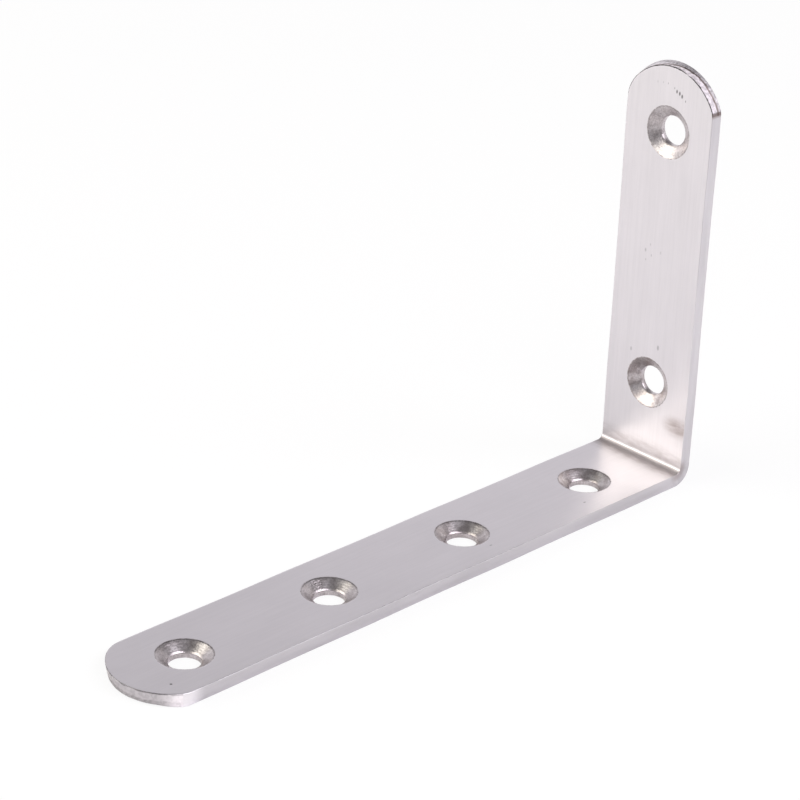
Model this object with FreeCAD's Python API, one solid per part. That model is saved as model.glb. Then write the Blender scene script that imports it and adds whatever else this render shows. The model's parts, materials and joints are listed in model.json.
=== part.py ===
import FreeCAD, Part

import math
import os

# An L-shaped corner brace: one flat strip with rounded ends and countersunk
# screw holes, bent once to a right angle.
#
# Sizes are in millimetres. The long leg lies along X with its outer face on
# Z = 0, the short leg stands along Z at the low X end, and the strip's width
# runs along Y. The origin is the middle of the long leg's outer face.

# Strip
strip_width = 20.0
strip_thickness = 2.5
edge_radius = 0.25

# Legs, each from the other leg's outer face to its own tip
long_leg_length = 132.5
short_leg_length = 82.0
inner_bend_radius = 1.2

# Cropped ends: a wide arc across the strip that meets the sides in soft corners
end_arc_height = 6.4
end_corner_radius = 3.0

# Screw holes, countersunk from the inside of the L
screw_hole_radius = 2.9
countersink_radius = 5.0
countersink_angle = 110.0

# Hole places: each leg's first hole measured from the other leg's outer face, its
# last hole from its own tip, and the rest evenly between them
long_leg_hole_count = 4
long_leg_first_hole = 18.9
long_leg_tip_margin = 14.0
short_leg_hole_count = 2
short_leg_first_hole = 18.3
short_leg_tip_margin = 12.7

# Worked out from the sizes above
half_width = strip_width / 2
outer_bend_radius = inner_bend_radius + strip_thickness

# How far a cutting shape runs past the face that it cuts
cut_overrun = 1.0

along_width = FreeCAD.Vector(0, 1, 0)


def point(x, y):
    """A point of a flat outline, on the plane Z = 0."""
    return FreeCAD.Vector(x, y, 0)


def leg_outline(length):
    """Outline of one flat leg, along X from the end of the bend to its tip."""
    arc_radius = (end_arc_height**2 + half_width**2) / (2 * end_arc_height)
    arc_centre = length - arc_radius
    corner_y = half_width - end_corner_radius
    corner_x = arc_centre + math.sqrt((arc_radius - end_corner_radius) ** 2 - corner_y**2)
    arc_start_angle = math.atan2(corner_y, corner_x - arc_centre)
    corner_middle_angle = (arc_start_angle + math.pi / 2) / 2

    def end_and_corner(side):
        """Corner arc on one side: its straight end, middle and end on the wide arc."""
        return (
            point(corner_x, side * half_width),
            point(
                corner_x + end_corner_radius * math.cos(corner_middle_angle),
                side * (corner_y + end_corner_radius * math.sin(corner_middle_angle)),
            ),
            point(
                arc_centre + arc_radius * math.cos(arc_start_angle),
                side * arc_radius * math.sin(arc_start_angle),
            ),
        )

    right_side, right_middle, right_arc = end_and_corner(-1)
    left_side, left_middle, left_arc = end_and_corner(1)
    right_root = point(outer_bend_radius, -half_width)
    left_root = point(outer_bend_radius, half_width)
    return Part.Wire(
        [
            Part.LineSegment(right_root, right_side).toShape(),
            Part.Arc(right_side, right_middle, right_arc).toShape(),
            Part.Arc(right_arc, point(length, 0), left_arc).toShape(),
            Part.Arc(left_arc, left_middle, left_side).toShape(),
            Part.LineSegment(left_side, left_root).toShape(),
            Part.LineSegment(left_root, right_root).toShape(),
        ]
    )


def leg_plate(length):
    """Flat leg along X, its outer face on Z = 0."""
    return Part.Face(leg_outline(length)).extrude(FreeCAD.Vector(0, 0, strip_thickness))


def bend():
    """Quarter turn of the strip between the two legs."""
    start = FreeCAD.Vector(outer_bend_radius, -half_width, 0)
    section = Part.makePlane(
        strip_width,
        strip_thickness,
        start,
        FreeCAD.Vector(1, 0, 0),
        along_width,
    )
    bend_centre = FreeCAD.Vector(outer_bend_radius, 0, outer_bend_radius)
    return section.revolve(bend_centre, along_width, 90)


def stand_up(shape):
    """Mirror a shape of the long leg across the corner's diagonal, onto the short leg."""
    return shape.mirror(FreeCAD.Vector(), FreeCAD.Vector(1, 0, -1))


def soften_rim(body):
    """Round the edges between the broad faces and the narrow sides."""

    def runs_across(edge):
        """True for a seam across the strip and for an edge through its thickness."""
        if not isinstance(edge.Curve, Part.Line):
            return False
        is_seam = abs(abs(edge.Curve.Direction.dot(along_width)) - 1) < 1e-6
        is_through = abs(edge.Length - strip_thickness) < 1e-6
        return is_seam or is_through

    return body.makeFillet(edge_radius, [edge for edge in body.Edges if not runs_across(edge)])


def screw_hole(distance):
    """Cutting shape of one countersunk hole in the long leg's frame."""
    slope = math.tan(math.radians(countersink_angle / 2))
    land_top = strip_thickness - (countersink_radius - screw_hole_radius) / slope
    mouth = strip_thickness + cut_overrun
    mouth_radius = countersink_radius + cut_overrun * slope
    profile = Part.makePolygon(
        [
            FreeCAD.Vector(0, 0, -cut_overrun),
            FreeCAD.Vector(screw_hole_radius, 0, -cut_overrun),
            FreeCAD.Vector(screw_hole_radius, 0, land_top),
            FreeCAD.Vector(mouth_radius, 0, mouth),
            FreeCAD.Vector(0, 0, mouth),
            FreeCAD.Vector(0, 0, -cut_overrun),
        ]
    )
    cutter = Part.Face(profile).revolve(FreeCAD.Vector(), FreeCAD.Vector(0, 0, 1), 360)
    cutter.translate(FreeCAD.Vector(distance, 0, 0))
    return cutter


def row_of_holes(first, last, count):
    """Cutting shapes of the evenly spaced holes of one leg, in the long leg's frame."""
    pitch = (last - first) / (count - 1)
    return [screw_hole(first + index * pitch) for index in range(count)]


def corner_brace():
    """The whole brace, bent, cropped, softened and drilled."""
    body = leg_plate(long_leg_length).fuse([stand_up(leg_plate(short_leg_length)), bend()])
    body = soften_rim(body.removeSplitter())
    long_leg_last_hole = long_leg_length - long_leg_tip_margin
    short_leg_last_hole = short_leg_length - short_leg_tip_margin
    holes = row_of_holes(long_leg_first_hole, long_leg_last_hole, long_leg_hole_count)
    for hole in row_of_holes(short_leg_first_hole, short_leg_last_hole, short_leg_hole_count):
        holes.append(stand_up(hole))
    body = body.cut(holes).Solids[0]
    body.translate(FreeCAD.Vector(-long_leg_length / 2, 0, 0))
    return body


os.makedirs("parts", exist_ok=True)
corner_brace().exportStep("parts/corner_brace.step")
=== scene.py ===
"""Looks of the L-shaped corner brace.

The brace is drawn the way it is made: a flat blank with straight sides, cropped round
ends and countersunk holes is laid out first, and the whole blank is then folded at the
heel. Blank coordinates are (along, across, height): along is the distance from the heel,
positive on the long leg and negative on the short one, across is the row's Y, and height
is measured from the outer face. Lengths are in metres.
"""

import json
import logging
import math
from collections.abc import Callable, Sequence
from dataclasses import dataclass, field
from enum import Enum
from typing import Any

import bmesh
import bpy
from bpy.types import ID, Material, Mesh, Node, NodeSocket, NodeTree, Object, World
from mathutils import Matrix, Vector


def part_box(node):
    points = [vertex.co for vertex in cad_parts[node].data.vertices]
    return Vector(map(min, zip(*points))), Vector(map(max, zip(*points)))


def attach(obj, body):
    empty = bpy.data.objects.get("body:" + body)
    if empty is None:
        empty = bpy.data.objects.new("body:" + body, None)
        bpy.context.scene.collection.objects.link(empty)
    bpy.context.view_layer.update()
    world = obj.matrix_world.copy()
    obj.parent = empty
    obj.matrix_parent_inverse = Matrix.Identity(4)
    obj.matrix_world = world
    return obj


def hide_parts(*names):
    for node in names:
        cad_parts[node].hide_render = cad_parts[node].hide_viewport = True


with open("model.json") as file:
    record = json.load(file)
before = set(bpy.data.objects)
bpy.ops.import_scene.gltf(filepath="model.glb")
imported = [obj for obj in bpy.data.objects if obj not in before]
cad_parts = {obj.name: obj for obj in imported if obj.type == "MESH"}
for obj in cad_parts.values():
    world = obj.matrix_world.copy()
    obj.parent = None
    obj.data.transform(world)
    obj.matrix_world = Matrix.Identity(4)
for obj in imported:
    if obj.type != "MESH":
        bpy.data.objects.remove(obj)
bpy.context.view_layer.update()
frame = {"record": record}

log = logging.getLogger("corner_brace")

MM = 0.001
THICKNESS = 2.5 * MM
NODE = "corner_brace"
BODY = "root"

# Point attributes that the materials read
STRIP_LAYER = "strip"
BORE_LAYER = "bore_radius"
WEAR_LAYER = "press_wear"

# Slopes of the end's outline: where a long side stops, and where the crop is complete
SIDE_SLOPE = 0.05
CROP_SLOPE = 0.45
# The outline's normal across the strip, where the near corner starts and how soon it is full
NEAR_START, NEAR_SPAN = 0.62, 0.25

# Rings of a broad face, as the share of the way from the hole's rim to the block's edge, and
# whether the ring stands one support width inside that end
SKIN_RINGS = ((0, 0), (0, 1), (0.35, 0), (0.7, 0), (1, 1), (1, 0))
SHARP_ANGLE = math.radians(50.0)
WELD = 0.001 * MM
TINY = 1e-9
# How far the middle of a small round lies in from its edge, as a share of its radius
ARC_MIDDLE = 0.29

WHITE = (1.0, 1.0, 1.0, 1.0)

Point = tuple[float, float, float]
Row = list[Point]


def add_object(name: str, data: ID) -> Object:
    """Makes an object and links it to the scene.

    Args:
        name: Name of the object.
        data: Its mesh, lamp or camera.

    Returns:
        The object.
    """
    made = bpy.data.objects.new(name, data)
    bpy.context.scene.collection.objects.link(made)
    return made


class Finish(Enum):
    """The finishes of the brace. The value is the material's place on the piece."""

    FACE = 0
    SIDE = 1
    CROPPED_END = 2
    COUNTERSINK = 3


@dataclass(frozen=True)
class HoleSizes:
    """Sizes of one countersunk screw hole.

    Attributes:
        radius: Radius of the straight land.
        rim_radius: Radius of the cone's rim.
        cone_angle: Full angle of the cone.
        lip: Width of the rounded lip outside the rim.
        burr: Size of the rounded edges of the land.
    """

    radius: float = 2.9 * MM
    rim_radius: float = 5.0 * MM
    cone_angle: float = math.radians(110.0)
    lip: float = 0.14 * MM
    burr: float = 0.10 * MM

    def land_height(self, thickness: float) -> float:
        """Height of the straight land under the cone, from the outer face."""
        return thickness - (self.rim_radius - self.radius) / math.tan(self.cone_angle / 2)


@dataclass(frozen=True)
class EndSizes:
    """Sizes of a cropped end: a wide arc that meets the sides in soft corners.

    Attributes:
        arc_height: How far the arc stands out across the full width.
        near_corner: Radius of the corner on the high Y side.
        far_corner: Radius of the corner on the low Y side.
        lean: How far the outer face's edge stands out beyond the inner face's.
        skew: How much the lean grows from the low Y side to the middle.
        near_lean: The lean at the near corner.
        roll_width: How far the outer face's edge is rolled over, along the face.
        roll_depth: The same through the thickness.
        near_side_slope: Slope of the outline up to which the near side takes the side finish, and
            with it, at the long tip, the painted highlight.
    """

    arc_height: float = 6.4 * MM
    near_corner: float = 1.8 * MM
    far_corner: float = 7.0 * MM
    lean: float = 0.0
    skew: float = 0.0
    near_lean: float = 0.1 * MM
    roll_width: float = 0.1 * MM
    roll_depth: float = 0.1 * MM
    near_side_slope: float = SIDE_SLOPE


@dataclass(frozen=True)
class StripSizes:
    """Section of the strip and how far the real one strays from straight.

    Attributes:
        half_width: Half the strip's width.
        thickness: Thickness of the strip.
        bend_radius: Inner radius of the bend.
        edge_radius: Radius of the edges round both broad faces.
        swell: How far pressing a countersink has pushed each side out.
        swell_reach: How far along the strip the swelling dies away.
        far_side: How much further from the holes the low Y side runs.
    """

    half_width: float
    thickness: float = THICKNESS
    bend_radius: float = 1.2 * MM
    edge_radius: float = 0.1 * MM
    swell: float = 0.12 * MM
    swell_reach: float = 9.0 * MM
    far_side: float = 0.34 * MM

    @property
    def heel_radius(self) -> float:
        """Outer radius of the bend."""
        return self.bend_radius + self.thickness


@dataclass(frozen=True)
class Leg:
    """One leg of the blank.

    Attributes:
        side: 1 for the leg along X, -1 for the leg along Z.
        length: Distance from the other leg's outer face to the tip.
        holes: Distances of the hole centres from the other leg's outer face.
        end: Sizes of the leg's cropped end.
    """

    side: int
    length: float
    holes: tuple[float, ...]
    end: EndSizes


@dataclass(frozen=True)
class EdgePoint:
    """A point of a block's boundary, with the outline's normal where it lies on it."""

    along: float
    across: float
    normal: tuple[float, float] | None = None

    @property
    def cropped(self) -> float:
        """0 on a seam or a long side, rising to 1 on the end's arc."""
        share = min(abs(self.normal[0]) / CROP_SLOPE, 1.0) if self.normal else 0.0
        return share * share * (3 - 2 * share)

    @property
    def near(self) -> float:
        """1 in the corner on the high Y side, fading to 0 along the arc."""
        if self.normal is None:
            return 0.0
        return self.cropped * min(max((self.normal[1] - NEAR_START) / NEAR_SPAN, 0.0), 1.0)

    def inset(self, amount: float) -> tuple[float, float]:
        """The point moved inwards from the outline; a point on a seam stays."""
        if self.normal is None:
            return self.along, self.across
        return self.along - amount * self.normal[0], self.across - amount * self.normal[1]


class PatchMesh:
    """Gathers faces in blank coordinates, and folds them into one closed mesh."""

    def __init__(self) -> None:
        """Starts with no faces."""
        self.points: list[Point] = []
        self.layers: dict[str, list[float]] = {BORE_LAYER: [], WEAR_LAYER: []}
        self.faces: list[tuple[tuple[int, ...], Finish]] = []

    def add_grid(self, rows: Sequence[Row], finish: Finish, closed: bool = False) -> None:
        """Adds a grid of four-sided faces.

        Args:
            rows: Rows of points, all of one length.
            finish: Finish of the new faces.
            closed: True if each row runs round and meets its own start.
        """
        start, width = len(self.points), len(rows[0])
        for row in rows:
            self.points.extend(row)
            for values in self.layers.values():
                values.extend([0.0] * width)
        last = width if closed else width - 1
        for r in range(len(rows) - 1):
            for c in range(last):
                here, there = start + r * width, start + (r + 1) * width
                step = (c + 1) % width
                self.faces.append(((here + c, here + step, there + step, there + c), finish))

    def add_mesh(self, mesh: Mesh, finish: Finish) -> None:
        """Adds a mesh that is already in blank coordinates.

        Args:
            mesh: The mesh, with every layer as a point attribute.
            finish: Finish of its faces.
        """
        start = len(self.points)
        self.points.extend(tuple(vertex.co) for vertex in mesh.vertices)
        for layer, values in self.layers.items():
            values.extend(item.value for item in mesh.attributes[layer].data)
        for polygon in mesh.polygons:
            self.faces.append((tuple(start + index for index in polygon.vertices), finish))

    def build(self, name: str, fold: Callable[[Point], Point], merge: float) -> Object:
        """Folds the blank and makes the object.

        Args:
            name: Name of the new object.
            fold: Turns a blank point into a point of the row frame.
            merge: Distance under which neighbouring patches share a point.

        Returns:
            The object, linked to the scene.
        """
        mesh = bpy.data.meshes.new(name)
        mesh.from_pydata([fold(point) for point in self.points], [], [f for f, _ in self.faces])
        mesh.polygons.foreach_set("material_index", [finish.value for _, finish in self.faces])
        mesh.polygons.foreach_set("use_smooth", [True] * len(self.faces))
        strip = mesh.attributes.new(STRIP_LAYER, "FLOAT_VECTOR", "POINT")
        strip.data.foreach_set("vector", [value for point in self.points for value in point])
        for layer, values in self.layers.items():
            mesh.attributes.new(layer, "FLOAT", "POINT").data.foreach_set("value", values)
        shaped = bmesh.new()
        shaped.from_mesh(mesh)
        bmesh.ops.remove_doubles(shaped, verts=shaped.verts, dist=merge)
        slivers = [face for face in shaped.faces if face.calc_area() < merge**2]
        bmesh.ops.delete(shaped, geom=slivers, context="FACES")
        bmesh.ops.recalc_face_normals(shaped, faces=shaped.faces)
        open_edges = sum(1 for edge in shaped.edges if not edge.is_manifold)
        log.info("%s: %d faces, %d open edges", name, len(shaped.faces), open_edges)
        shaped.to_mesh(mesh)
        shaped.free()
        return add_object(name, mesh)


@dataclass(frozen=True)
class Arc:
    """One arc of the end's outline: its radius and the place of its centre."""

    radius: float
    along: float
    across: float = 0.0

    def corner(self, radius: float, half_width: float) -> "Arc":
        """The soft corner that touches this arc and one side of the strip."""
        across = half_width - radius
        along = self.along + math.sqrt((self.radius - radius) ** 2 - across**2)
        return Arc(radius, along, across)

    def reach(self, start: float, angle: float) -> tuple[float, float]:
        """Where a ray leaves the arc's circle.

        Args:
            start: Place of the ray's start on the leg's middle line.
            angle: Direction of the ray.

        Returns:
            The point, along and across.
        """
        towards = Vector((math.cos(angle), math.sin(angle)))
        offset = Vector((start, 0.0)) - Vector((self.along, self.across))
        along = offset.dot(towards)
        far = -along + math.sqrt(max(along**2 - offset.length_squared + self.radius**2, 0.0))
        return start + far * math.cos(angle), far * math.sin(angle)


class CroppedEnd:
    """Outline of a leg's end, in leg coordinates (distance from the heel, across)."""

    def __init__(self, length: float, half_width: float, sizes: EndSizes) -> None:
        """Works out the arcs.

        Args:
            length: Distance of the tip from the heel.
            half_width: Half the strip's width.
            sizes: Sizes of the end.
        """
        rise = sizes.arc_height
        radius = (rise**2 + half_width**2) / (2 * rise)
        self.half_width = half_width
        self.crown = Arc(radius, length - radius)
        self.near = self.crown.corner(sizes.near_corner, half_width)
        self.far = self.crown.corner(sizes.far_corner, half_width)

    def hit(self, start: float, angle: float) -> EdgePoint:
        """Where a ray from (start, 0) leaves the leg.

        Args:
            start: Place of the ray's start on the leg's middle line.
            angle: Direction of the ray, from the leg's own direction.

        Returns:
            The point on the outline, with its normal.
        """
        side = 1.0 if math.sin(angle) >= 0 else -1.0
        corner = self.near if side > 0 else self.far
        rise = abs(math.sin(angle))
        if rise > TINY:
            along = start + self.half_width * math.cos(angle) / rise
            if along <= corner.along:
                return EdgePoint(along, side * self.half_width, (0.0, side))
        blend = math.atan2(corner.across, corner.along - self.crown.along)
        for arc in (self.crown, corner):
            along, across = arc.reach(start, math.atan2(rise, math.cos(angle)))
            if math.atan2(across, along - self.crown.along) <= blend:
                break
        normal = ((along - arc.along) / arc.radius, side * (across - arc.across) / arc.radius)
        return EdgePoint(along, side * across, normal)


@dataclass
class BraceStrip:
    """The whole brace: its blank, its holes and its fold.

    Attributes:
        strip: Section of the strip.
        hole: Sizes of a screw hole.
        legs: The long and the short leg.
        heel: Place of the theoretical outer corner in the row frame.
        finishes: The materials, in the order of the Finish values.
        spokes: Points round each hole.
        bend_steps: Steps of the fold.
        edge_steps: Steps of each small round on the strip's edges.
        side_steps: Steps of the flat side between them.
        support: Width of the narrow strips of faces that keep the edges crisp.
        merge: Distance under which neighbouring patches share a point.
        patches: The faces laid out so far.
    """

    strip: StripSizes
    hole: HoleSizes
    legs: tuple[Leg, Leg]
    heel: Vector
    finishes: list[Material]
    spokes: int = 96
    bend_steps: int = 20
    edge_steps: int = 4
    side_steps: int = 5
    support: float = 0.18 * MM
    merge: float = 0.002 * MM
    patches: PatchMesh = field(default_factory=PatchMesh)

    @classmethod
    def from_frame(cls, record: dict[str, Any], finishes: list[Material]) -> "BraceStrip":
        """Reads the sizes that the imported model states.

        Args:
            record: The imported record.
            finishes: The materials, in the order of the Finish values.

        Returns:
            The brace, ready to build.
        """
        low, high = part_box(NODE)
        mounts = {mount["name"]: mount for mount in record["mounts"]}
        outer, inner, short = (
            mounts[f"{row}_screws"] for row in ("long_leg_outer", "long_leg_inner", "short_leg")
        )
        middle = outer["pos_m"][0] - low.x
        wide, narrow = (mount["dims"]["spacing_x_mm"] * MM / 2 for mount in (outer, inner))
        long_holes = tuple(middle + offset for offset in (-wide, -narrow, narrow, wide))
        short_middle, short_half = short["pos_m"][2], short["dims"]["spacing_y_mm"] * MM / 2
        long_end = EndSizes(
            lean=-0.3 * MM, skew=0.3 * MM, roll_width=0.9 * MM, roll_depth=0.5 * MM, near_side_slope=0.52
        )
        short_end = EndSizes(lean=0.4 * MM, skew=-0.4 * MM, near_lean=0.0)
        return cls(
            strip=StripSizes(half_width=(high.y - low.y) / 2),
            hole=HoleSizes(radius=outer["dims"]["hole_r_mm"] * MM),
            legs=(
                Leg(1, high.x - low.x, long_holes, long_end),
                Leg(-1, high.z, (short_middle - short_half, short_middle + short_half), short_end),
            ),
            heel=Vector((low.x, 0.0, 0.0)),
            finishes=finishes,
        )

    def build(self) -> Object:
        """Lays out the blank, presses the holes and folds the heel.

        Returns:
            The finished piece.
        """
        for leg in self.legs:
            self._lay_leg(leg)
        self._lay_bend()
        cone = self.finishes[Finish.COUNTERSINK.value]
        press = HolePress(self.hole, self.strip.thickness, self.spokes, cone)
        bores = press.press(self._hole_places())
        self.patches.add_mesh(bores, Finish.COUNTERSINK)
        bpy.data.meshes.remove(bores)
        made = self.patches.build("folded_strip", self._fold, self.merge)
        made.data.set_sharp_from_angle(angle=SHARP_ANGLE)
        for material in self.finishes:
            made.data.materials.append(material)
        return made

    def _hole_places(self) -> list[Point]:
        """Hole centres on the blank's outer face."""
        return [(leg.side * hole, 0.0, 0.0) for leg in self.legs for hole in leg.holes]

    def _swell(self, point: Point) -> Point:
        """Pushes the strip's sides out beside the pressed countersinks.

        Args:
            point: A point of the blank.

        Returns:
            The point moved across the strip.
        """
        along, across, height = point
        push = sum(
            math.exp(-(((along - place) / self.strip.swell_reach) ** 2))
            for place, _, _ in self._hole_places()
        )
        share = (abs(across) / self.strip.half_width) ** 4
        stray = self.strip.swell * push + (self.strip.far_side if across < 0 else 0.0)
        return along, across + math.copysign(stray * share, across), height

    def _fold(self, point: Point) -> Point:
        """Folds the blank at the heel.

        Args:
            point: A point of the blank.

        Returns:
            Its place in the row frame.
        """
        along, across, height = self._swell(point)
        radius = self.strip.heel_radius
        if along >= radius:
            place = Vector((along, across, height))
        elif along <= -radius:
            place = Vector((height, across, -along))
        else:
            turn = (radius - along) / (2 * radius) * math.pi / 2
            arm = radius - height
            place = Vector((radius - arm * math.sin(turn), across, radius - arm * math.cos(turn)))
        return tuple(self.heel + place)

    def _edge_profile(self, point: EdgePoint, end: EndSizes) -> Row:
        """Section of the strip's side at one point of its outline.

        Args:
            point: The outline's point, in leg coordinates.
            end: Sizes of the leg's end.

        Returns:
            Points from the inner face to the outer one, in leg coordinates.
        """
        edge, thickness = self.strip.edge_radius, self.strip.thickness
        arc = point.cropped - point.near
        width = edge + (end.roll_width - edge) * arc
        depth = edge + (end.roll_depth - edge) * arc
        skew = end.skew * (point.normal[1] if point.normal else 0.0)
        reach = (end.lean + skew) * arc + end.near_lean * point.near
        turns = [math.pi / 2 * step / self.edge_steps for step in range(self.edge_steps + 1)]
        top = [(edge * (1 - math.sin(a)), thickness - edge * (1 - math.cos(a))) for a in turns]
        foot = [(width * (1 - math.sin(a)), depth * (1 - math.cos(a))) for a in turns]
        span = thickness - edge - depth
        steps = range(1, self.side_steps)
        band = [(0.0, thickness - edge - span * step / self.side_steps) for step in steps]
        row = []
        for inset, height in top + band + list(reversed(foot)):
            row.append((*point.inset(inset - reach * (1 - height / thickness)), height))
        return row

    def _lay_side(self, edge: Sequence[EdgePoint], leg: Leg, finish: Finish) -> None:
        """Adds the strip's narrow side along part of its outline.

        Args:
            edge: Points of the outline, in leg coordinates.
            leg: The leg.
            finish: Finish of the faces.
        """
        rows = [
            [(leg.side * along, across, height) for along, across, height in profile]
            for profile in (self._edge_profile(point, leg.end) for point in edge)
        ]
        self.patches.add_grid(rows, finish)

    def _boundary(self, hole: float, near: float, far: float | CroppedEnd) -> list[EdgePoint]:
        """Boundary of the block of blank round one hole, one point for each spoke.

        Args:
            hole: Distance of the hole's centre from the heel.
            near: Where the block starts.
            far: Where the block ends, or the leg's end.

        Returns:
            The points, in the order of their angles from the leg's direction.
        """
        half = self.strip.half_width
        step = 2 * math.pi / self.spokes
        at_tip = isinstance(far, CroppedEnd)
        near_corner = self.spokes // 2 - round(math.atan2(half, hole - near) / step)
        far_corner = 0 if at_tip else round(math.atan2(half, far - hole) / step)
        points = []
        for spoke in range(self.spokes):
            angle = step * spoke
            mirrored = min(spoke, self.spokes - spoke)
            if mirrored >= near_corner:
                along, on_seam = near, mirrored > near_corner
            elif at_tip:
                points.append(far.hit(hole, angle))
                continue
            elif mirrored <= far_corner:
                along, on_seam = far, mirrored < far_corner
            else:
                along, on_seam = hole + half * math.cos(angle) / abs(math.sin(angle)), False
            if on_seam:
                points.append(EdgePoint(along, (along - hole) * math.tan(angle)))
            else:
                side = 1.0 if 2 * spoke <= self.spokes else -1.0
                points.append(EdgePoint(along, side * half, (0.0, side)))
        return points

    def _lay_skin(self, hole: float, edge: Sequence[EdgePoint], leg: Leg, inner: bool) -> None:
        """Adds the broad face round one hole, on one side of the strip.

        Args:
            hole: Distance of the hole's centre from the heel.
            edge: Boundary of the block.
            leg: The leg.
            inner: True for the inner face, which holds the countersink.
        """
        height = self.strip.thickness if inner else 0.0
        bounds = [self._edge_profile(point, leg.end)[0 if inner else -1] for point in edge]
        start = self.hole.rim_radius + self.hole.lip if inner else self.hole.radius + self.hole.burr
        step = 2 * math.pi / self.spokes
        rows: list[Row] = []
        for share, gap in SKIN_RINGS:
            row = []
            for spoke, (point, bound) in enumerate(zip(edge, bounds)):
                rim = start + gap * self.support if share == 0 else start
                nudge = gap * self.support if share == 1 and point.normal else 0.0
                normal = point.normal or (0.0, 0.0)
                outer = (bound[0] - nudge * normal[0], bound[1] - nudge * normal[1])
                ring = (hole + rim * math.cos(step * spoke), rim * math.sin(step * spoke))
                place = [a + (b - a) * share for a, b in zip(ring, outer)]
                row.append((leg.side * place[0], place[1], height))
            rows.append(row)
        self.patches.add_grid(rows, Finish.FACE, closed=True)

    def _seams(self, leg: Leg) -> list[float | CroppedEnd]:
        """Where a leg's blocks meet, from the bend to the end outline."""
        middles = [(a + b) / 2 for a, b in zip(leg.holes, leg.holes[1:])]
        tip = CroppedEnd(leg.length, self.strip.half_width, leg.end)
        return [self.strip.heel_radius, *middles, tip]

    def _lay_leg(self, leg: Leg) -> None:
        """Adds both faces and the sides of one leg.

        Args:
            leg: The leg.
        """
        seams = self._seams(leg)
        for hole, near, far in zip(leg.holes, seams, seams[1:]):
            edge = self._boundary(hole, near, far)
            for inner in (True, False):
                self._lay_skin(hole, edge, leg, inner)
            for here, there in zip(edge, edge[1:] + edge[:1]):
                if here.normal is None or there.normal is None:
                    continue
                middle = (abs(here.normal[0]) + abs(there.normal[0])) / 2
                # On the near side the side finish, with the painted highlight at the long tip,
                # reaches round the corner up to this slope
                limit = leg.end.near_side_slope if here.across > 0 else SIDE_SLOPE
                finish = Finish.CROPPED_END if middle > limit else Finish.SIDE
                self._lay_side((here, there), leg, finish)

    def _seam_across(self, leg: Leg) -> list[float]:
        """Places across the strip of the points on a leg's first seam.

        Args:
            leg: The leg.

        Returns:
            The places, from the low Y side up.
        """
        edge = self._boundary(leg.holes[0], self.strip.heel_radius, self._seams(leg)[1])
        radius = self.strip.edge_radius
        seam = [p for p in edge if abs(p.along - self.strip.heel_radius) < self.merge]
        low, *middle, high = sorted(p.inset(radius)[1] for p in seam)
        return [low, low + self.support, *middle, high - self.support, high]

    def _lay_bend(self) -> None:
        """Adds the bent stretch between the legs."""
        radius, half = self.strip.heel_radius, self.strip.half_width
        ends = [self._seam_across(leg) for leg in self.legs]
        pace = 2 * radius / self.bend_steps
        alongs = [radius - pace * step for step in range(self.bend_steps + 1)]
        for height in (self.strip.thickness, 0.0):
            rows = [
                [(along, a + (b - a) * (step / self.bend_steps), height) for a, b in zip(*ends)]
                for step, along in enumerate(alongs)
            ]
            self.patches.add_grid(rows, Finish.FACE)
        for side in (-1.0, 1.0):
            edge = [EdgePoint(along, side * half, (0.0, side)) for along in alongs]
            self._lay_side(edge, self.legs[0], Finish.SIDE)


def plug(entry: NodeSocket, value: Any) -> None:
    """Feeds an input of a node.

    Args:
        entry: The input.
        value: A signal, a socket, a node whose first output is meant, or a plain value.
    """
    if isinstance(value, Node):
        value = value.outputs[0]
    elif isinstance(value, Signal):
        value = value.socket
    if isinstance(value, NodeSocket):
        entry.id_data.links.new(value, entry)
    else:
        entry.default_value = value


def operator(operation: str, swapped: bool = False) -> Callable[..., "Signal"]:
    """Makes a method of Signal that adds one Math node.

    Args:
        operation: The node's operation.
        swapped: True if the other value comes first.

    Returns:
        The method.
    """

    def method(self: "Signal", *others: "Signal | float") -> "Signal":
        """Adds the node."""
        return self.math(operation, (*others, self) if swapped else (self, *others))

    return method


@dataclass(frozen=True)
class Signal:
    """One value in a node tree, at an output. Arithmetic on signals adds Math nodes."""

    socket: NodeSocket

    def math(self, operation: str, values: "Sequence[Signal | float]") -> "Signal":
        """Adds a Math node.

        Args:
            operation: The node's operation.
            values: Its inputs, in order.

        Returns:
            The node's result.
        """
        node = self.socket.id_data.nodes.new("ShaderNodeMath")
        node.operation = operation
        for entry, value in zip(node.inputs, values):
            plug(entry, value)
        return Signal(node.outputs[0])

    __add__ = operator("ADD")
    __radd__ = operator("ADD", swapped=True)
    __sub__ = operator("SUBTRACT")
    __rsub__ = operator("SUBTRACT", swapped=True)
    __mul__ = operator("MULTIPLY")
    __rmul__ = operator("MULTIPLY", swapped=True)
    __truediv__ = operator("DIVIDE")
    __pow__ = operator("POWER")
    __abs__ = operator("ABSOLUTE")
    __round__ = operator("ROUND")
    sine = operator("SINE")
    cosine = operator("COSINE")
    at_least = operator("MAXIMUM")

    def ramp(self, low: float, high: float) -> "Signal":
        """Rises smoothly from 0 to 1, or falls if low is the larger.

        Args:
            low: Where the result is 0.
            high: Where it is 1.

        Returns:
            The result.
        """
        node = self.socket.id_data.nodes.new("ShaderNodeMapRange")
        node.interpolation_type = "SMOOTHSTEP"
        limits = (min(low, high), max(low, high), float(low > high), float(low < high))
        names = ("Value", "From Min", "From Max", "To Min", "To Max")
        for name, value in zip(names, (self, *limits)):
            plug(node.inputs[name], value)
        return Signal(node.outputs["Result"])


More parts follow.
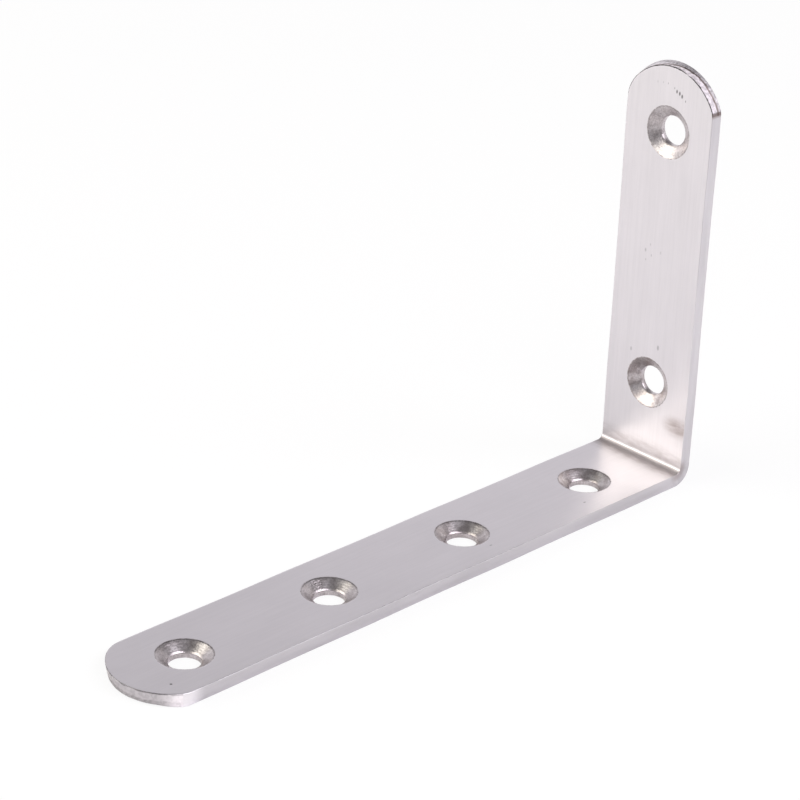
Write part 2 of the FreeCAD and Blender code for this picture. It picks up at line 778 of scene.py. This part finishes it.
class NodeBench:
    """Adds nodes to one tree."""

    def __init__(self, tree: NodeTree) -> None:
        """Takes over a tree and empties it."""
        self.tree = tree
        tree.nodes.clear()

    def add(
        self,
        kind: str,
        settings: dict[str, Any] | None = None,
        inputs: dict[str | int, Any] | None = None,
    ) -> Node:
        """Adds a node.

        Args:
            kind: The node's type.
            settings: Properties of the node, set first.
            inputs: What feeds each input.

        Returns:
            The node.
        """
        node = self.tree.nodes.new(kind)
        for name, value in (settings or {}).items():
            setattr(node, name, value)
        for name, value in (inputs or {}).items():
            plug(node.inputs[name], value)
        return node

    def axes(self, vector: Node | NodeSocket) -> tuple[Signal, ...]:
        """The three parts of a vector."""
        split = self.add("ShaderNodeSeparateXYZ", inputs={0: vector})
        return tuple(Signal(output) for output in split.outputs)


def shaded(made: Material | World) -> tuple[Material | World, NodeBench]:
    """A new material or world, and the bench of its emptied node tree."""
    made.use_nodes = True
    return made, NodeBench(made.node_tree)


@dataclass
class HolePress:
    """Makes the countersunk walls of the screw holes with Geometry Nodes.

    Attributes:
        hole: Sizes of a hole.
        thickness: Thickness of the strip.
        spokes: Points round each hole.
        finish: Material of the walls.
    """

    LENGTHS = ("Rim Radius", "Hole Radius", "Land Height", "Thickness", "Lip", "Burr")
    NUMBERS = ("Spokes", "Seed")

    hole: HoleSizes
    thickness: float
    spokes: int
    finish: Material
    cone_rings: int = 5
    land_rings: int = 3
    seed: int = 7

    def press(self, places: Sequence[Point]) -> Mesh:
        """Makes one wall at each place.

        Args:
            places: Hole centres on the outer face, in blank coordinates.

        Returns:
            One mesh with all the walls, in blank coordinates.
        """
        centres = bpy.data.meshes.new("hole_centres")
        centres.from_pydata(list(places), [], [])
        carrier = add_object("hole_centres", centres)
        tree = self._tree()
        modifier = carrier.modifiers.new("Countersinks", "NODES")
        modifier.node_group = tree
        hole = self.hole
        land = hole.land_height(self.thickness)
        lengths = (hole.rim_radius, hole.radius, land, self.thickness, hole.lip, hole.burr)
        values = dict(zip((*self.LENGTHS, *self.NUMBERS), (*lengths, self.spokes, self.seed)))
        for item in tree.interface.items_tree:
            if item.in_out == "INPUT" and item.name in values:
                modifier[item.identifier] = values[item.name]
        evaluated = carrier.evaluated_get(bpy.context.evaluated_depsgraph_get())
        made = bpy.data.meshes.new_from_object(evaluated)
        carrier.modifiers.remove(modifier)
        bpy.data.objects.remove(carrier)
        bpy.data.meshes.remove(centres)
        log.info("countersinks: %d holes, %d faces", len(places), len(made.polygons))
        return made

    def _profile(self, size: dict[str, Signal]) -> list[tuple[Signal, Signal | float]]:
        """Section of the hole's wall, from the inner face down to the outer one.

        Args:
            size: The tree's named inputs.

        Returns:
            Pairs of the distance from the axis and the height.
        """
        rim, bore, land, top, lip, burr = (size[name] for name in self.LENGTHS)
        half = self.hole.cone_angle / 2
        lean, drop = math.sin(half), math.cos(half)
        cone, wall = (
            [ring / (rings + 1) for ring in range(1, rings + 1)]
            for rings in (self.cone_rings, self.land_rings)
        )
        return [
            (rim + lip, top),
            (rim + lip * ((1 - lean) / 4), top - lip * (drop / 4)),
            (rim - lip * lean, top - lip * drop),
            *((rim + (bore - rim) * share, top + (land - top) * share) for share in cone),
            (bore + burr * (lean / 2), land + burr * (drop / 2)),
            (bore, land - burr / 2),
            *((bore, land + (burr - land) * share) for share in wall),
            (bore, burr),
            (bore + burr * ARC_MIDDLE, burr * ARC_MIDDLE),
            (bore + burr, 0.0),
        ]

    def _tree(self) -> NodeTree:
        """Makes the node tree: a wall turned round an axis, set at every point.

        Returns:
            The tree.
        """
        tree = bpy.data.node_groups.new("Countersinks", "GeometryNodeTree")
        face = tree.interface
        face.new_socket("Geometry", in_out="INPUT", socket_type="NodeSocketGeometry")
        for name in self.LENGTHS:
            face.new_socket(name, in_out="INPUT", socket_type="NodeSocketFloat")
        for name in self.NUMBERS:
            face.new_socket(name, in_out="INPUT", socket_type="NodeSocketInt")
        face.new_socket("Geometry", in_out="OUTPUT", socket_type="NodeSocketGeometry")
        bench = NodeBench(tree)
        entry = bench.add("NodeGroupInput")
        size = {output.name: Signal(output) for output in entry.outputs}
        profile = self._profile(size)
        spokes = size["Spokes"]
        sheet = bench.add(
            "GeometryNodeMeshGrid",
            inputs={
                "Size X": len(profile) - 1.0,
                "Size Y": spokes,
                "Vertices X": len(profile),
                "Vertices Y": spokes + 1,
            },
        )
        row, column, _ = bench.axes(bench.add("GeometryNodeInputPosition"))
        ring = round(row + (len(profile) - 1) / 2)
        angle = (column + spokes / 2) * 2 * math.pi / spokes
        radius, height = (self._pick(bench, ring, values) for values in zip(*profile))
        place = bench.add(
            "ShaderNodeCombineXYZ",
            inputs={"X": radius * angle.cosine(), "Y": radius * angle.sine(), "Z": height},
        )
        chance = bench.add(
            "FunctionNodeRandomValue", {"data_type": "FLOAT"}, {"Seed": size["Seed"]}
        )
        store, per_point = "GeometryNodeStoreNamedAttribute", {"domain": "POINT"}
        wall = bench.add(store, per_point, {0: sheet, "Name": BORE_LAYER, "Value": radius})
        wall = bench.add("GeometryNodeSetPosition", inputs={0: wall, "Position": place})
        wall = bench.add("GeometryNodeMergeByDistance", inputs={0: wall, "Distance": WELD})
        wear = {0: entry, "Name": WEAR_LAYER, "Value": chance.outputs[1]}
        made = bench.add(store, per_point, wear)
        made = bench.add("GeometryNodeInstanceOnPoints", inputs={0: made, "Instance": wall})
        made = bench.add("GeometryNodeRealizeInstances", inputs={0: made})
        made = bench.add("GeometryNodeSetMaterial", inputs={0: made, "Material": self.finish})
        bench.add("NodeGroupOutput", inputs={"Geometry": made})
        return tree

    @staticmethod
    def _pick(bench: NodeBench, index: Signal, values: Sequence[Signal | float]) -> Signal:
        """Chooses one of several values.

        Args:
            bench: Where the node goes.
            index: Place of the value in the list.
            values: The values.

        Returns:
            The value at that place.
        """
        node = bench.add("GeometryNodeIndexSwitch", {"data_type": "FLOAT"})
        while len(node.index_switch_items) < len(values):
            node.index_switch_items.new()
        for entry, value in zip(node.inputs, (index, *values)):
            plug(entry, value)
        return Signal(node.outputs[0])


@dataclass(frozen=True)
class Mark:
    """A small oval mark in a face, in blank coordinates. Its radius is across the strip."""

    along: float
    across: float
    radius: float
    depth: float = 1.0
    squeeze: float = 0.5

    @classmethod
    def in_mm(cls, along: float, across: float, radius: float, *rest: float) -> "Mark":
        """The mark whose lengths are given in millimetres."""
        return cls(along * MM, across * MM, radius * MM, *rest)


class Surface(NodeBench):
    """The bench of a steel finish, with the blank coordinates of the surface."""

    def __init__(self, tree: NodeTree) -> None:
        """Takes over a tree, and adds the coordinates."""
        super().__init__(tree)
        strip = self.add("ShaderNodeAttribute", {"attribute_name": STRIP_LAYER})
        self.strip = strip.outputs["Vector"]

    def place(self) -> tuple[Signal, ...]:
        """The surface's place along, across and through the strip."""
        return self.axes(self.strip)

    def noise(self, scale: Point, detail: float = 2.0, turn: float = 0.0) -> Signal:
        """Noise with its own size along each axis.

        Args:
            scale: Waves for each metre, along each axis.
            detail: Octaves of the noise.
            turn: Shift that gives another pattern.

        Returns:
            The noise, from 0 to 1.
        """
        placed = {"Vector": self.strip, "Scale": scale, "Location": (turn, turn, turn)}
        waves = self.add("ShaderNodeMapping", inputs=placed)
        looks = {"Vector": waves, "Scale": 1.0, "Detail": detail, "Roughness": 0.55}
        return Signal(self.add("ShaderNodeTexNoise", inputs=looks).outputs[0])


@dataclass(frozen=True)
class Pattern:
    """How a finish varies over the surface.

    Attributes:
        roughness: Roughness.
        height: Height of the relief, from 0 to about 1.
        shade: 1 for the finish's own colour, less where it is darker.
        tarnish: Share of the brown tarnish.
    """

    roughness: Signal
    height: Signal
    shade: Signal
    tarnish: Signal | float = 0.0


@dataclass(frozen=True)
class SteelFinish:
    """One finish of the stainless steel.

    Attributes:
        name: Name of the material.
        colour: Colour of the metal's reflection.
        roughness: Middle of the roughness.
        grain: How much the brushing changes the roughness.
        relief: Height of the brushing, for the bump.
        blotch: How much the colour changes from place to place.
    """

    TARNISH = (0.36, 0.30, 0.29, 1.0)

    name: str
    colour: tuple[float, float, float]
    roughness: float
    grain: float
    relief: float
    blotch: float

    def material(self) -> Material:
        """Builds the material.

        Returns:
            The material.
        """
        made = bpy.data.materials.new(self.name)
        made.use_nodes = True
        surface = Surface(made.node_tree)
        pattern = self.pattern(surface)
        dark = tuple(value * (1 - self.blotch) for value in self.colour)
        tint = surface.add(
            "ShaderNodeMix",
            {"data_type": "RGBA", "clamp_factor": False},
            {"Factor": pattern.shade, 6: (*dark, 1.0), 7: (*self.colour, 1.0)},
        )
        aged = surface.add(
            "ShaderNodeMix",
            {"data_type": "RGBA"},
            {"Factor": pattern.tarnish, 6: tint.outputs[2], 7: self.TARNISH},
        )
        bump = surface.add(
            "ShaderNodeBump",
            inputs={"Strength": 1.0, "Distance": self.relief, "Height": pattern.height},
        )
        steel = surface.add(
            "ShaderNodeBsdfPrincipled",
            inputs={
                "Base Color": aged.outputs[2],
                "Metallic": 1.0,
                "Roughness": pattern.roughness,
                "Normal": bump,
            },
        )
        surface.add("ShaderNodeOutputMaterial", inputs={"Surface": steel})
        return made

    def pattern(self, surface: Surface) -> Pattern:
        """How the finish varies over the surface.

        Args:
            surface: Where the nodes go.

        Returns:
            The pattern.
        """
        raise NotImplementedError


@dataclass(frozen=True)
class BrushedFace(SteelFinish):
    """Broad faces: fine grain along the strip, a rougher crease with painted shade, a few pits and
    a stain.
    """

    pits: tuple[Mark, ...] = ()
    stain: Mark = Mark(0.0, 0.0, 1.0 * MM)

    def pattern(self, surface: Surface) -> Pattern:
        """Grain along the strip, pits, the stain, and the rougher crease, darkened and browned as
        painted shade except along a thin line where the bend's own reflection shows bright.

        Args:
            surface: Where the nodes go.

        Returns:
            The pattern.
        """
        along, across, height = surface.place()
        fine = surface.noise((160.0, 4200.0, 900.0), 3.0)
        long_lines = surface.noise((26.0, 1500.0, 300.0), 2.0, 3.1)
        cloud = surface.noise((70.0, 130.0, 130.0), 3.0, 7.7)
        grain = fine * 0.5 + long_lines * 0.5
        inside = height.ramp(0.4 * THICKNESS, 0.6 * THICKNESS)
        scuff = surface.noise((1100.0, 330.0, 330.0), 4.0, 5.2)
        # Painted shade: the crease is darkened and browned in the colour, most in a band on the
        # long leg's side of the line and less in a band on the short leg's side; the thin line
        # between is left unshaded
        line = abs(along + 1.4 * MM).ramp(0.4 * MM, 0.1 * MM) * 0.88
        ragged = abs(along) + (cloud - 0.5) * (1.5 * MM)
        crease = ragged.ramp(7.2 * MM, 4.2 * MM) * inside * (1 - line)
        heart_rough_and_shaded = along.ramp(-1.2 * MM, -0.7 * MM) * ragged.ramp(5.8 * MM, 3.4 * MM) * inside
        painted_shade_over_line = along.ramp(-1.6 * MM, -2.1 * MM) * ragged.ramp(5.2 * MM, 3.2 * MM) * inside
        pitted = self._spots(along, across, self.pits, 0.35) * inside
        smudged = across + (cloud - 0.5) * (4 * MM)
        stained = self._spots(along, smudged, (self.stain,), 0.0) * inside
        rubbed = scuff.ramp(0.35, 0.65)
        roughness = self.roughness + (grain - 0.5) * self.grain + crease * 0.06 + heart_rough_and_shaded * 0.1
        relief = grain - pitted * 2.0 + crease * scuff
        shade = 0.43 + cloud.ramp(0.25, 0.75) * 0.25 + grain.ramp(0.3, 0.7) * 0.32
        shade = shade - pitted * 4.5 - (crease + stained) * rubbed * 0.5 - heart_rough_and_shaded * 0.9 - painted_shade_over_line * 0.8
        tarnish = crease * (0.12 + rubbed * 0.16) + heart_rough_and_shaded * 0.22 + stained * (0.5 + rubbed * 0.35)
        return Pattern(roughness, relief, shade, tarnish)

    @staticmethod
    def _spots(along: Signal, across: Signal, marks: Sequence[Mark], core: float) -> Signal:
        """Soft oval spots.

        Args:
            along: Distance from the heel.
            across: Distance from the middle line.
            marks: The spots.
            core: Share of each radius that is at full strength.

        Returns:
            1 in the spots and 0 elsewhere.
        """
        spots = []
        for mark in marks:
            long_way = (along - mark.along) * mark.squeeze
            distance = (long_way**2.0 + (across - mark.across) ** 2.0) ** 0.5
            spots.append(distance.ramp(mark.radius, mark.radius * core) * mark.depth)
        total = spots[0]
        for spot in spots[1:]:
            total = total.at_least(spot)
        return total


@dataclass(frozen=True)
class RolledSide(SteelFinish):
    """Narrow sides: faint lines along the strip, a bruised heel, painted shade along the long leg,
    a painted highlight at the long tip's near corner and a painted shade line at the short tip's
    step.
    """

    corner: float = 0.0

    def pattern(self, surface: Surface) -> Pattern:
        """Faint lines, the bruised heel, and painted light: shade along the long leg, a highlight
        at the long tip's near corner and a dark line at the short tip's step.

        Args:
            surface: Where the nodes go.

        Returns:
            The pattern.
        """
        lines = surface.noise((12.0, 300.0, 3200.0), 3.0, 1.3)
        cloud = surface.noise((45.0, 200.0, 500.0), 2.0, 5.9)
        along, across, height = surface.place()
        crumple = surface.noise((700.0, 700.0, 700.0), 3.0, 9.4)
        heel = abs(along).ramp(6 * MM, 3 * MM)
        inner = height.ramp(0.3 * THICKNESS, 0.85 * THICKNESS)
        pinch = abs(along).ramp(5.6 * MM, 3.6 * MM) * inner
        # Painted highlight: the colour is brightened on the high Y side over the last few
        # millimetres before the long tip's near corner
        painted_corner_highlight = along.ramp(self.corner - 3.6 * MM, self.corner) * across.ramp(0, 1 * MM)
        # Painted shade: the long leg's side is darkened in the colour, fading in near the heel
        painted_long_side_shade = along.ramp(2 * MM, 14 * MM)
        # Painted shade: a dark line on the high Y side at the short tip, where the sheared end
        # meets the side
        painted_step_shade = along.ramp(-74.5 * MM, -75.1 * MM) * across.ramp(0, 1 * MM)
        roughness = self.roughness + (lines - 0.5) * self.grain + heel * 0.06
        relief = lines + cloud * 0.6 + heel * crumple * 3.0
        shade = cloud.ramp(0.2, 0.8) - painted_long_side_shade * 0.9 + painted_corner_highlight * 3.4
        shade = shade - heel * crumple.ramp(0.4, 0.6) * 0.8 - painted_step_shade * (1.2 + crumple)
        return Pattern(roughness, relief, shade, (pinch * 0.6).at_least(painted_step_shade * 0.7))


@dataclass(frozen=True)
class ShearedEnd(SteelFinish):
    """Cropped ends: sheared near the inner face, broken below it; the short one is torn. Both carry
    painted shade and highlights.
    """

    def pattern(self, surface: Surface) -> Pattern:
        """A sheared band over a broken one, scratches, a dark line under the band at the short tip,
        and painted light: shade under the inner face's edge, in the long tip's middle and at the
        short tip's step, and brightening in the short tip's band and towards the long tip's near
        corner.

        Args:
            surface: Where the nodes go.

        Returns:
            The pattern.
        """
        along, across, height = surface.place()
        wobble = surface.noise((420.0, 420.0, 120.0), 2.0, 2.2)
        scratches = surface.noise((2600.0, 2600.0, 160.0), 3.0, 4.4)
        crumble = surface.noise((1500.0, 1500.0, 1500.0), 4.0, 8.1)
        level = height / THICKNESS + (wobble - 0.5) * 0.35
        broken = level.ramp(0.5, 0.36)
        # Painted shade: a dark line along the inner face's edge, stronger at the short tip
        burr = level.ramp(0.9, 0.98)
        torn = along.ramp(1 * MM, -1 * MM)
        cut = 1 - across.ramp(-6 * MM, 6 * MM) * 0.55
        # The short tip's sheared band near the inner face is rougher, and is brightened in the
        # colour as a painted highlight
        shear_band_painted_sheen = (level - cut).ramp(-0.03, 0.03) * torn
        # Darker and browner along a line just under that band
        dark_line_under_band = abs(level - cut + 0.08).ramp(0.11, 0.05) * torn * (1 - burr)
        # Painted shade: a dark line at the short tip's near corner, where the end meets the side
        painted_step_shade = along.ramp(-75.9 * MM, -75.35 * MM) * across.ramp(8.4 * MM, 9.4 * MM) * torn
        # Painted shade: the long tip's end is darker everywhere but on its low Y side
        middle = across.ramp(-7 * MM, -3 * MM) * (1 - torn)
        # Painted highlight: the long tip's end is brightened towards its near corner, and smoother
        # there
        smooth_corner_painted_sheen = across.ramp(6.8 * MM, 9.7 * MM) * (1 - torn)
        roughness = self.roughness + broken * 0.12 + shear_band_painted_sheen * 0.42 + (scratches - 0.5) * self.grain
        smooth = shear_band_painted_sheen.at_least(smooth_corner_painted_sheen * 0.8)
        relief = scratches * 0.4 + crumble * (0.3 + (broken * 0.8 + torn * 1.4) * (1 - smooth))
        spots = crumble.ramp(0.42, 0.6) * (0.35 + torn * 0.5)
        shade = 1.08 - broken * 0.25 - burr * (0.7 + torn * 1.1) - spots * 0.6 - middle * 0.35
        shade = shade + torn * 0.2 + shear_band_painted_sheen * 0.35 - dark_line_under_band * 1.4 + smooth_corner_painted_sheen * 1.1 - painted_step_shade * 1.6
        return Pattern(roughness, relief, shade, dark_line_under_band.at_least(painted_step_shade) * 0.8)


@dataclass(frozen=True)
class PressedCone(SteelFinish):
    """Countersinks: satin, with ring marks, faint chatter and a line of painted shade at the rim.
    """

    rim: float = 5.0 * MM

    def pattern(self, surface: Surface) -> Pattern:
        """Ring marks and chatter, with painted shade at the rim.

        Args:
            surface: Where the nodes go.

        Returns:
            The pattern.
        """
        distance, wear = (
            Signal(surface.add("ShaderNodeAttribute", {"attribute_name": layer}).outputs["Fac"])
            for layer in (BORE_LAYER, WEAR_LAYER)
        )
        chatter = surface.noise((3300.0, 3300.0, 3300.0), 3.0, 6.3)
        cloud = surface.noise((600.0, 600.0, 600.0), 2.0, 2.9)
        rings = (distance * 15000.0 + cloud * 6.0).sine() * 0.5 + 0.5
        roughness = self.roughness + (cloud - 0.5) * self.grain
        shade = 0.2 + chatter.ramp(0.3, 0.62) * 0.5 + cloud.ramp(0.3, 0.6) * 0.3
        # Painted shade: a dark ring just inside the rim, all the way round
        shade = shade - distance.ramp(self.rim - 0.22 * MM, self.rim) * 0.55
        tarnish = cloud.ramp(0.65, 0.4) * (0.2 + wear * 0.3)
        return Pattern(roughness, rings * 0.15 + chatter, shade, tarnish)


@dataclass(frozen=True)
class Softbox:
    """A rectangular lamp, at place and turned towards aim."""

    name: str
    place: tuple[float, float, float]
    aim: tuple[float, float, float]
    size: tuple[float, float]
    power: float
    colour: tuple[float, float, float]

    def build(self) -> None:
        """Adds the lamp to the scene."""
        data = bpy.data.lights.new(self.name, "AREA")
        data.shape = "RECTANGLE"
        data.size, data.size_y = self.size
        data.energy = self.power
        data.color = self.colour
        lamp = add_object(self.name, data)
        lamp.location = self.place
        towards = Vector(self.aim) - Vector(self.place)
        lamp.rotation_euler = towards.to_track_quat("-Z", "Y").to_euler()


@dataclass(frozen=True)
class PhotoCamera:
    """The camera of the photograph."""

    place: tuple[float, float, float]
    aim: tuple[float, float, float]
    roll: float
    lens: float
    sensor: float = 36.0
    clip: tuple[float, float] = (0.01, 20.0)

    def build(self) -> None:
        """Adds the camera and makes it the scene's own."""
        data = bpy.data.cameras.new("photo_camera")
        data.sensor_width, data.lens = self.sensor, self.lens
        data.clip_start, data.clip_end = self.clip
        camera = add_object("photo_camera", data)
        forward = (Vector(self.aim) - Vector(self.place)).normalized()
        right = forward.cross(Vector((0.0, 0.0, 1.0))).normalized()
        up = right.cross(forward)
        turn = Matrix((right, up, -forward)).transposed() @ Matrix.Rotation(self.roll, 3, "Z")
        camera.matrix_world = Matrix.Translation(self.place) @ turn.to_4x4()
        bpy.context.scene.camera = camera


@dataclass(frozen=True)
class Studio:
    """Pale floor, white surroundings and soft lamps.

    Attributes:
        lamps: The lamps.
        floor_size: Width of the floor.
        floor_drop: How far it lies below the brace.
        floor_tone: Its tone.
        floor_shade: How much darker the metal sees it on the camera's side.
        floor_glow: How much of its white to the camera needs no light.
        tent_tone: Tone of the tent that the metal sees.
        tent_tint: Its colour.
        roof_shade: How much darker the tent is overhead.
        wall_shade: The same on the low X side.
        front_shade: The same on the camera's side.
        side_shade: The same on the low Y side.
    """

    lamps: tuple[Softbox, ...]
    floor_size: float = 3.0
    floor_drop: float = 0.05 * MM
    floor_tone: float = 0.96
    floor_shade: float = 0.4
    floor_glow: float = 0.86
    tent_tone: float = 1.165
    tent_tint: tuple[float, float, float] = (1.0, 0.972, 1.01)
    roof_shade: float = 0.95
    wall_shade: float = 0.5
    front_shade: float = 0.9
    side_shade: float = 0.35

    def build(self) -> None:
        """Adds the floor, the surroundings and the lamps."""
        self._floor()
        self._surroundings()
        for lamp in self.lamps:
            lamp.build()
        bpy.context.scene.view_settings.view_transform = "Standard"

    def _floor(self) -> None:
        """A wide floor that shows white to the camera and keeps the brace's shadow."""
        half = self.floor_size / 2
        mesh = bpy.data.meshes.new("floor")
        corners = [(-half, -half), (half, -half), (half, half), (-half, half)]
        mesh.from_pydata([(x, y, -self.floor_drop) for x, y in corners], [], [(0, 1, 2, 3)])
        add_object("floor", mesh)
        made, bench = shaded(bpy.data.materials.new("pale_floor"))
        seen = Signal(bench.add("ShaderNodeLightPath").outputs["Is Camera Ray"])
        x, y, _ = bench.axes(bench.add("ShaderNodeTexCoord").outputs["Object"])
        # The camera's side, which is darker to the metal, and far off, where all is white
        front = (x + y).ramp(0.05, 0.2)
        far = ((x**2.0 + y**2.0) ** 0.5).ramp(0.3, 0.9)
        tone = self.floor_tone * (1 - front * (1 - seen) * self.floor_shade)
        colour = bench.add("ShaderNodeCombineColor", inputs={0: tone, 1: tone, 2: tone})
        matt = bench.add("ShaderNodeBsdfDiffuse", inputs={"Color": colour})
        glow = bench.add("ShaderNodeEmission", inputs={"Color": WHITE})
        share = seen * (self.floor_glow + far * (1 - self.floor_glow))
        mixed = bench.add("ShaderNodeMixShader", inputs={0: share, 1: matt, 2: glow})
        bench.add("ShaderNodeOutputMaterial", inputs={"Surface": mixed})
        mesh.materials.append(made)

    def _surroundings(self) -> None:
        """White to the camera; a soft grey and warm tent to the metal and the floor."""
        bpy.context.scene.world, bench = shaded(bpy.data.worlds.new("studio"))
        seen = Signal(bench.add("ShaderNodeLightPath").outputs["Is Camera Ray"])
        x, y, z = bench.axes(bench.add("ShaderNodeTexCoord").outputs["Generated"])
        # The tent overhead, on the low X side, on the camera's side and on the low Y side
        high = z.ramp(0.4, 0.7)
        wall = (x * -1.0 + y * 0.35).ramp(0.5, 0.95)
        front = (x * 0.55 + y * 0.8).ramp(0.42, 0.75)
        side = (y * -1.0).ramp(0.7, 0.98)
        dark = wall * self.wall_shade + front * self.front_shade + side * self.side_shade
        tent = self.tent_tone - high * self.roof_shade - dark * (1 - high)
        red, green, blue = (tent * share for share in self.tent_tint)
        colour = bench.add("ShaderNodeCombineColor", inputs={0: red, 1: green, 2: blue})
        shown = bench.add("ShaderNodeBackground", inputs={"Color": WHITE})
        around = bench.add("ShaderNodeBackground", inputs={"Color": colour})
        mixed = bench.add("ShaderNodeMixShader", inputs={0: seen, 1: around, 2: shown})
        bench.add("ShaderNodeOutputWorld", inputs={"Surface": mixed})


# Pits of the inner face: place along and across and radius in mm, depth, and squeeze if it
# isn't the usual one
PITS = (
    (-77.6, 1.3, 0.25, 1.0),
    (-77.4, 2.0, 0.27, 1.0),
    (-77.0, 2.6, 0.27, 1.0),
    (-76.3, 3.5, 0.16, 0.7),
    (-78.1, 0.7, 0.14, 0.6),
    (-78.6, -0.9, 0.14, 0.5),
    (-78.5, -2.1, 0.16, 0.25),
    (-78.3, -3.4, 0.18, 0.2),
    (-44.9, -3.1, 0.26, 0.35),
    (-44.2, -1.6, 0.2, 0.3),
    (-46.3, -2.0, 0.18, 0.25),
    (-45.4, 0.6, 0.24, 0.2),
    (-43.0, -2.9, 0.16, 0.3),
    (-23.8, -4.7, 0.3, 0.35),
    (-26.2, 1.9, 0.36, 0.45),
    (126.5, 6.0, 0.32, 1.0, 1.0),
    (51.3, 6.6, 0.22, 0.5),
    (25.6, 6.2, 0.22, 0.6),
)


def brace_materials() -> list[Material]:
    """The brace's materials, in the order of the Finish values.

    Returns:
        The materials.
    """
    face = BrushedFace(
        "brushed_face",
        colour=(0.735, 0.71, 0.735),
        roughness=0.37,
        grain=0.18,
        relief=0.010 * MM,
        blotch=0.16,
        pits=tuple(Mark.in_mm(*pit) for pit in PITS),
        stain=Mark.in_mm(-11.5, 8.7, 5.2, 1.0, 1.8),
    )
    side = RolledSide(
        "rolled_side",
        colour=(0.705, 0.685, 0.705),
        roughness=0.36,
        grain=0.14,
        relief=0.010 * MM,
        blotch=0.12,
        # Where the painted highlight at the long tip's near corner reaches full strength
        corner=125.7 * MM,
    )
    end = ShearedEnd(
        "sheared_end",
        colour=(0.67, 0.64, 0.66),
        roughness=0.36,
        grain=0.20,
        relief=0.085 * MM,
        blotch=0.6,
    )
    cone = PressedCone(
        "pressed_cone",
        colour=(0.68, 0.64, 0.65),
        roughness=0.31,
        grain=0.16,
        relief=0.033 * MM,
        blotch=0.58,
    )
    return [finish.material() for finish in (face, side, end, cone)]


def photo_studio() -> Studio:
    """The lamps and surroundings, as the photograph's reflections show them.

    Returns:
        The studio.
    """
    middle = (0.0, 0.0, 0.03)
    left = Softbox(
        "left_softbox",
        place=(0.76, -0.56, 0.56),
        aim=middle,
        size=(1.15, 0.9),
        power=7.4,
        colour=(1.0, 0.98, 0.86),
    )
    right = Softbox(
        "right_softbox",
        place=(-0.12, 1.05, 1.08),
        aim=middle,
        size=(2.0, 0.8),
        power=20.2,
        colour=(0.97, 0.94, 1.0),
    )
    return Studio(lamps=(left, right))


def photo_camera() -> PhotoCamera:
    """The camera, solved from the straight edges and the hole rims of the photograph.

    Returns:
        The camera.
    """
    return PhotoCamera(
        place=(0.31649, 0.31243, 0.24639),
        aim=(-0.00406, -0.00745, 0.03),
        roll=math.radians(2.366),
        lens=126.287,
    )


def main() -> None:
    """Builds the brace and the studio round it."""
    logging.basicConfig(level=logging.INFO, format="%(message)s")
    brace = BraceStrip.from_frame(frame["record"], brace_materials()).build()
    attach(brace, BODY)
    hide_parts(NODE)
    log.info("piece %s: %d points", brace.name, len(brace.data.vertices))
    photo_studio().build()
    photo_camera().build()


if __name__ == "__main__":
    main()
